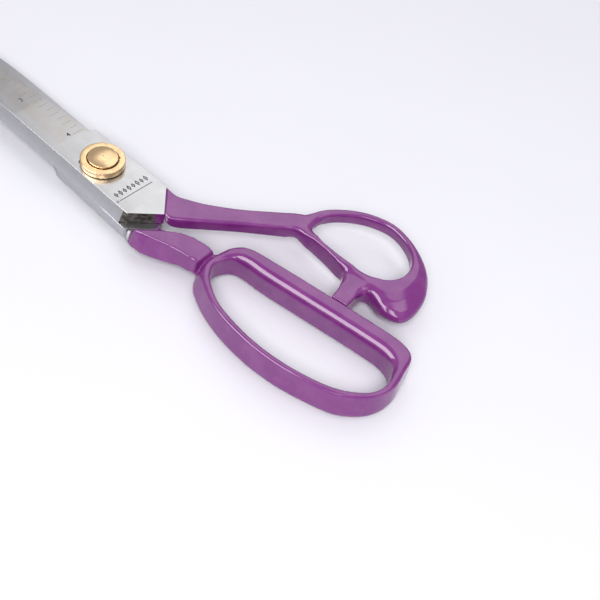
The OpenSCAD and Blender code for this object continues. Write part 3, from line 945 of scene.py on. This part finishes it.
def milled_nut():
    """Bright plated steel with fine milling marks."""
    f = Finish("milled_nut")
    lines = f.grain((0.15, 3, 3), 2.0)
    colour = f.mix(lines, (0.55, 0.55, 0.56), (0.7, 0.7, 0.7))
    return f.surface(Base_Color=colour, Metallic=1.0, Roughness=f.step(lines, 0.3, 0.7, 0.22, 0.34),
                     Normal=f.bump(lines, 0.004))


def etched_ink(name, dark, light):
    """Acid-etched marks, uneven in depth from one stroke to the next."""
    f = Finish(name)
    patch = f.grain((0.7, 0.7, 0.7), 3.0)
    return f.surface(Base_Color=f.mix(f.step(patch, 0.3, 0.7), dark, light), Roughness=0.6,
                     Metallic=0.2)


def floor_paper():
    """Matt white paper with a lavender cast."""
    f = Finish("floor_paper")
    fibre = f.grain((60, 60, 60), 2.0)
    return f.surface(Base_Color=f.mix(fibre, (0.765, 0.76, 0.81), (0.785, 0.78, 0.825)),
                     Roughness=0.7)


# ---------- floor, light and camera ----------
AIM = np.array([62.0, 8.0, 6.0])  # the lamps face this point
FLOOR_HALF, FLOOR_SQUARES = 2.0, 8  # half the floor's side in metres, and squares along it
AIR_COLOUR, AIR_STRENGTH = (0.97, 0.97, 1.0, 1.0), 0.48
# Each lamp: name, direction, distance and size in metres, radiance, and whether it is
# in the diffuse light and in the mirror images in metal and enamel
LAMPS = [("over_softbox", (-0.325, 0.54, 0.776), 1.1, (0.85, 0.7), 1.15, True, True),
         ("front_strip", (-0.33, -0.64, 0.69), 1.0, (0.9, 0.72), 5.8, False, True),
         ("top_softbox", (0.35, 0.2, 0.9), 1.0, (0.5, 0.5), 1.4, True, True),
         ("eye_fill", (0.325, -0.54, 0.776), 1.0, (0.45, 0.45), 12.0, True, False),
         ("eye_spot", (0.4, -0.58, 0.71), 1.0, (0.34, 0.3), 5.0, False, True)]
EYE = (0.2022, -0.17497, 0.27901)  # in metres
EYE_RIGHT, EYE_UP = (0.72349, 0.67077, 0.16317), (-0.60878, 0.50850, 0.60895)
LENS, FRAME_WIDTH = 60, 36


def looking(place, right, up):
    """A matrix at a place whose own X and Y axes are right and up, and whose Z looks back."""
    right, up = Vector(right).normalized(), Vector(up)
    up = (up - right * up.dot(right)).normalized()
    turn = Matrix((right, up, right.cross(up))).transposed()
    return Matrix.Translation(Vector(place)) @ turn.to_4x4()


def softbox(name, direction, distance, size, radiance, diffuse, mirrored):
    """A rectangular lamp that faces the shears. Its power is pi x area x radiance."""
    lamp = bpy.data.lights.new(name, "AREA")
    lamp.shape = "RECTANGLE"
    lamp.size, lamp.size_y = size
    lamp.energy = math.pi * size[0] * size[1] * radiance
    made = bpy.data.objects.new(name, lamp)
    back = Vector(direction).normalized()
    place = Vector(AIM * MM) + back * distance
    up = back.cross(Vector((1, 0, 0))).normalized()
    made.matrix_world = looking(place, up.cross(back), up)
    made.visible_diffuse, made.visible_glossy = diffuse, mirrored
    bpy.context.scene.collection.objects.link(made)


def studio():
    line = np.linspace(-FLOOR_HALF, FLOOR_HALF, FLOOR_SQUARES + 1)
    x, y = np.meshgrid(line, line, indexing="ij")
    points = np.stack([x, y, 0 * x], -1).reshape(-1, 3)
    row = FLOOR_SQUARES + 1
    a = (np.arange(FLOOR_SQUARES)[:, None] * row + np.arange(FLOOR_SQUARES)[None, :]).ravel()
    faces = np.stack([a, a + row, a + row + 1, a + 1], -1).tolist()
    mesh = bpy.data.meshes.new("floor")
    mesh.from_pydata(points.tolist(), [], faces)
    mesh.materials.append(floor_paper())
    floor = bpy.data.objects.new("floor", mesh)
    bpy.context.scene.collection.objects.link(floor)

    world = bpy.data.worlds.new("studio")
    world.use_nodes = True
    air = world.node_tree.nodes["Background"]
    air.inputs["Color"].default_value = AIR_COLOUR
    air.inputs["Strength"].default_value = AIR_STRENGTH
    scene = bpy.context.scene
    scene.world = world
    scene.view_settings.view_transform = "Standard"

    for lamp in LAMPS:
        softbox(*lamp)


def camera():
    eye = bpy.data.cameras.new("camera")
    eye.lens, eye.sensor_width = LENS, FRAME_WIDTH
    eye.clip_start = 0.01
    made = bpy.data.objects.new("camera", eye)
    made.matrix_world = looking(EYE, EYE_RIGHT, EYE_UP)
    bpy.context.scene.collection.objects.link(made)
    bpy.context.scene.camera = made


# ---------- assembly ----------
def build():
    enamel = purple_enamel()
    steels = [satin_steel(), ground_steel("ground_steel", MIST), forged_skin()]
    finger_steels = [steels[0], ground_steel("finger_ground_steel", FINGER_MIST), steels[2],
                     ground_steel("sprayed_steel", NEAR_SIDE_MIST)]
    brass, dark = turned_brass(), blued_spring()
    ink = etched_ink("etched_ink", (0.02, 0.02, 0.025), (0.05, 0.05, 0.055))
    pale_ink = etched_ink("pale_ink", (0.28, 0.28, 0.29), (0.4, 0.4, 0.41))
    finger_handle(enamel)
    thumb_handle(enamel)
    finger_blade(finger_steels)
    thumb_blade(steels)
    rule(ink, pale_ink)
    ornament(ink)
    bolt(brass)
    collar(brass)
    tab_washer(dark)
    spring_washer(dark)
    nut(milled_nut())
    studio()
    camera()


build()
